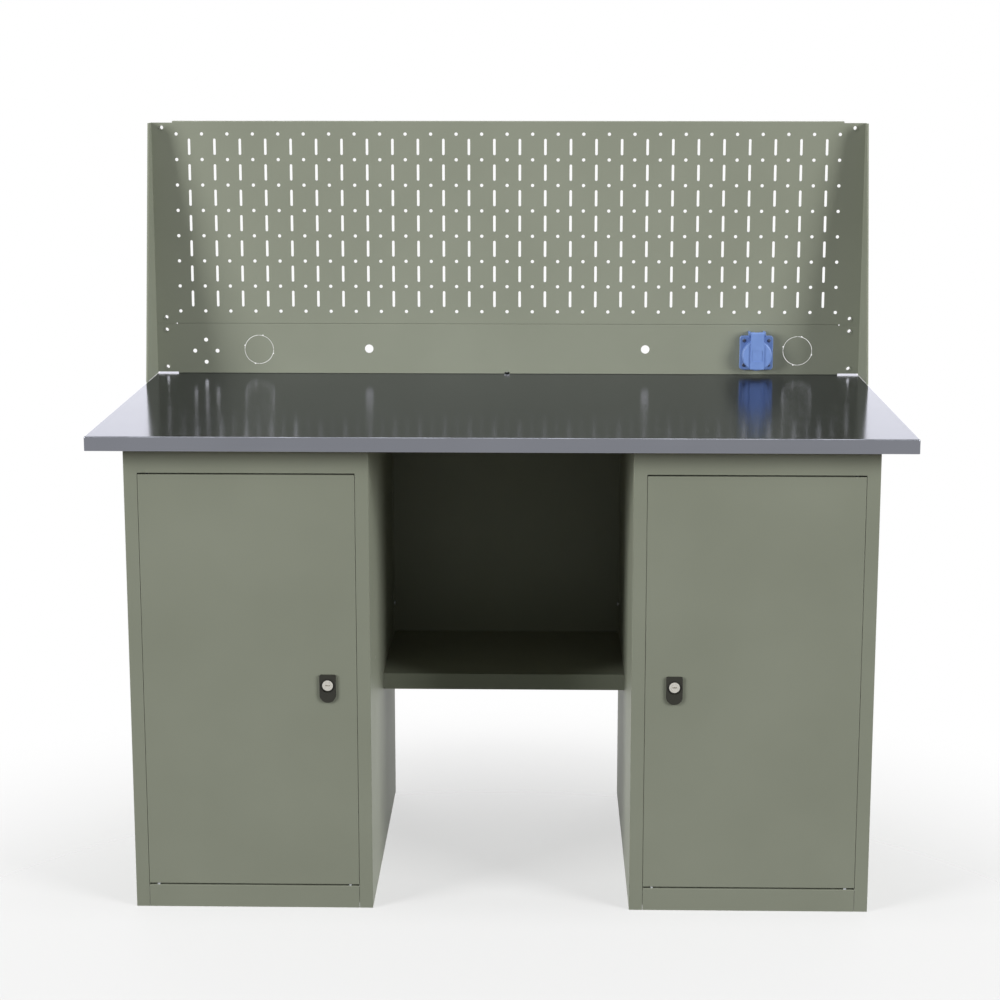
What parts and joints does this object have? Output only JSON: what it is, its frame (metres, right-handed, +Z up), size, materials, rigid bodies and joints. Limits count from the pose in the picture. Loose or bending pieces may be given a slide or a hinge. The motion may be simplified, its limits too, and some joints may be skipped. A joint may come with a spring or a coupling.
{
  "type": "pedestal workbench",
  "caption": "Steel workbench on lockable pedestal cabinets with a knee shelf and a perforated rear screen that holds a lidded socket.",
  "frame": {"origin": "on the floor, under the middle of the worktop", "axes": "+X to the right as seen from the front, +Y to the rear screen, +Z up"},
  "size_m": [1.4, 0.7, 1.35],
  "materials": {
    "grey_paint": "satin powder coat, cement grey",
    "worktop_steel": "smooth zinc-coated sheet",
    "board": "raw particle board",
    "zinc": "zinc plated",
    "lock_dark": "dark satin",
    "lock_chrome": "nickel plated",
    "socket_blue": "moulded, satin",
    "carrier_black": "moulded",
    "gasket_rubber": "matt",
    "contact_brass": "bare"
  },
  "bodies": {
    "bench": {"ear_rivet_nuts": "grey_paint", "knee_back": "grey_paint", "knee_screws": "zinc", "knee_shelf": "grey_paint", "left_back": "grey_paint", "left_door_bushes": "zinc", "left_door_rest": "zinc", "left_floor": "grey_paint", "left_front_frame": "grey_paint", "left_inner_side": "grey_paint", "left_outer_side": "grey_paint", "left_plinth": "grey_paint", "left_shelf": "grey_paint", "left_shelf_pins": "zinc", "left_wing": "grey_paint", "perforated_panel": "grey_paint", "right_back": "grey_paint", "right_door_bushes": "zinc", "right_door_rest": "zinc", "right_floor": "grey_paint", "right_front_frame": "grey_paint", "right_inner_side": "grey_paint", "right_outer_side": "grey_paint", "right_plinth": "grey_paint", "right_shelf": "grey_paint", "right_shelf_pins": "zinc", "right_wing": "grey_paint", "screen_foot_screws": "zinc", "seam_bolts": "zinc", "seam_nuts": "zinc", "socket_body": "socket_blue", "socket_carrier": "carrier_black", "socket_contacts": "contact_brass", "socket_gasket": "gasket_rubber", "socket_lid_pin": "zinc", "socket_lid_spring": "zinc", "socket_panel": "grey_paint", "socket_screws": "zinc", "worktop_board": "board", "worktop_cover": "worktop_steel", "worktop_screws": "zinc"},
    "left_door": {"left_door": "grey_paint", "left_door_pivot_pins": "zinc", "left_lock_plate": "lock_dark", "left_lock_barrel": "lock_chrome", "left_lock_nut": "zinc"},
    "left_lock": {"left_lock_plug": "lock_chrome", "left_lock_cam": "zinc", "left_lock_cam_screw": "zinc"},
    "right_door": {"right_door": "grey_paint", "right_door_pivot_pins": "zinc", "right_lock_plate": "lock_dark", "right_lock_barrel": "lock_chrome", "right_lock_nut": "zinc"},
    "right_lock": {"right_lock_plug": "lock_chrome", "right_lock_cam": "zinc", "right_lock_cam_screw": "zinc"},
    "socket_lid": {"socket_lid": "socket_blue"}
  },
  "joints": [
    {"name": "left_door_hinge", "type": "hinge", "parent": "bench", "child": "left_door", "pos_m": [-0.6024, -0.3115, 0.4105], "axis": [0, 0, -1], "range_deg": [0, 110]},
    {"name": "left_lock_turn", "type": "hinge", "parent": "left_door", "child": "left_lock", "pos_m": [-0.299, -0.316, 0.4075], "axis": [0, -1, 0], "range_deg": [0, 90]},
    {"name": "right_door_hinge", "type": "hinge", "parent": "bench", "child": "right_door", "pos_m": [0.6024, -0.3115, 0.4105], "axis": [0, 0, 1], "range_deg": [0, 110]},
    {"name": "right_lock_turn", "type": "hinge", "parent": "right_door", "child": "right_lock", "pos_m": [0.299, -0.316, 0.4075], "axis": [0, 1, 0], "range_deg": [0, 90]},
    {"name": "socket_lid_hinge", "type": "hinge", "parent": "bench", "child": "socket_lid", "pos_m": [0.495, 0.3056, 0.933], "axis": [-1, 0, 0], "range_deg": [0, 100], "stiffness_Nm_per_rad": 0.03, "springref_deg": -34.38}
  ]
}
